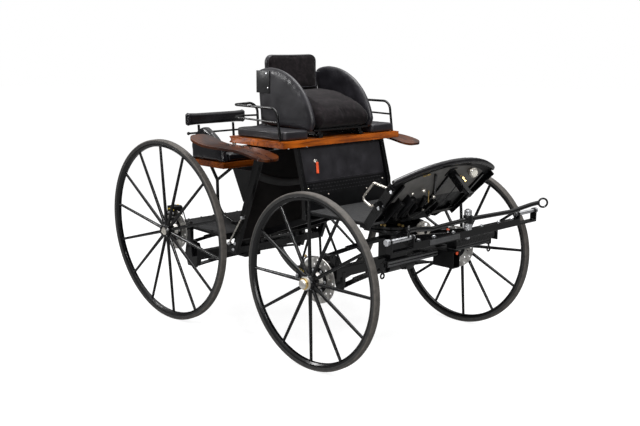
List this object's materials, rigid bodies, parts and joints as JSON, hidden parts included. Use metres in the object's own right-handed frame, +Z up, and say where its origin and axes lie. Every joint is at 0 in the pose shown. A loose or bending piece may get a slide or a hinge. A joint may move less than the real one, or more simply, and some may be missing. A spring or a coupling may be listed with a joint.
{
  "type": "horse drawn carriage",
  "caption": "Two-seat driving carriage with four tall spoked wheels, leaf springs, steering turntable, raised padded driver's seat, groom's seat and platform, leaning dash and splinter bar.",
  "frame": {"origin": "on the ground, below the middle of the overall length, on the centre plane", "axes": "+X forward (direction of travel), +Y the vehicle's left, +Z up"},
  "size_m": [2.6218, 1.5242, 1.742],
  "materials": {
    "black_steel": "gloss",
    "tyre": "matt",
    "wood": "varnished",
    "leather": "satin",
    "suede": "matt",
    "mesh": "matt",
    "nickel": "polished",
    "disc_steel": "satin",
    "rubber": "matt",
    "zinc": "satin"
  },
  "bodies": {
    "chassis": {"chassis_frame": "black_steel", "rear_axle": "black_steel", "rear_springs": "black_steel", "rear_calipers": "black_steel", "turntable_upper": "black_steel", "rear_legs": "black_steel", "front_legs": "black_steel", "footwell_floor": "black_steel", "dash_panel": "black_steel", "dash_frame": "black_steel", "dash_rim": "leather", "brake_pedals": "black_steel", "grab_loop": "nickel", "seat_board": "wood", "side_pads": "leather", "seat_wings": "leather", "seat_shell": "black_steel", "seat_cushion": "suede", "back_pad": "leather", "seat_rails": "black_steel", "front_flap": "leather", "kick_panel": "black_steel", "rear_mesh_panel": "mesh", "mudguards": "wood", "mudguard_arms": "black_steel", "groom_board": "wood", "groom_bolsters": "leather", "groom_cushion": "leather", "groom_backrest": "leather", "groom_posts": "black_steel", "groom_platform": "black_steel", "groom_stays": "black_steel", "groom_box": "black_steel", "post_sleeves": "nickel", "rear_brake_hoses": "rubber"},
    "front_carriage": {"front_carriage": "black_steel", "front_axle": "black_steel", "front_springs": "black_steel", "front_calipers": "black_steel", "front_brake_hoses": "rubber", "splinter_bar": "black_steel", "draught_pins": "zinc", "lower_crossbar": "black_steel", "pole_socket": "black_steel", "turntable_brake": "nickel"},
    "swingletree": {"swingletree": "black_steel"},
    "rear_left_spin": {"rear_left_tyre": "tyre", "rear_left_wheel": "black_steel", "rear_left_hub": "disc_steel"},
    "rear_right_spin": {"rear_right_tyre": "tyre", "rear_right_wheel": "black_steel", "rear_right_hub": "disc_steel"},
    "front_left_spin": {"front_left_tyre": "tyre", "front_left_wheel": "black_steel", "front_left_hub": "disc_steel"},
    "front_right_spin": {"front_right_tyre": "tyre", "front_right_wheel": "black_steel", "front_right_hub": "disc_steel"}
  },
  "joints": [
    {"name": "rear_left_wheel_spin", "type": "hinge", "parent": "chassis", "child": "rear_left_spin", "pos_m": [-0.71094, 0.6956, 0.60002], "axis": [0, 0.9991, -0.0424], "continuous": true},
    {"name": "rear_right_wheel_spin", "type": "hinge", "parent": "chassis", "child": "rear_right_spin", "pos_m": [-0.71094, -0.6956, 0.60002], "axis": [0, 0.9991, 0.0424], "continuous": true},
    {"name": "front_left_wheel_spin", "type": "hinge", "parent": "front_carriage", "child": "front_left_spin", "pos_m": [0.64406, 0.6956, 0.51017], "axis": [0, 0.9997, -0.0248], "continuous": true},
    {"name": "front_right_wheel_spin", "type": "hinge", "parent": "front_carriage", "child": "front_right_spin", "pos_m": [0.64406, -0.6956, 0.51017], "axis": [0, 0.9997, 0.0248], "continuous": true},
    {"name": "steering", "type": "hinge", "parent": "chassis", "child": "front_carriage", "pos_m": [0.64406, 0, 0.74], "axis": [0, 0, 1], "range_deg": [-35, 35]},
    {"name": "swingletree_pivot", "type": "hinge", "parent": "front_carriage", "child": "swingletree", "pos_m": [1.19656, 0, 0.856], "axis": [0, 0, 1], "range_deg": [-12, 12]}
  ]
}
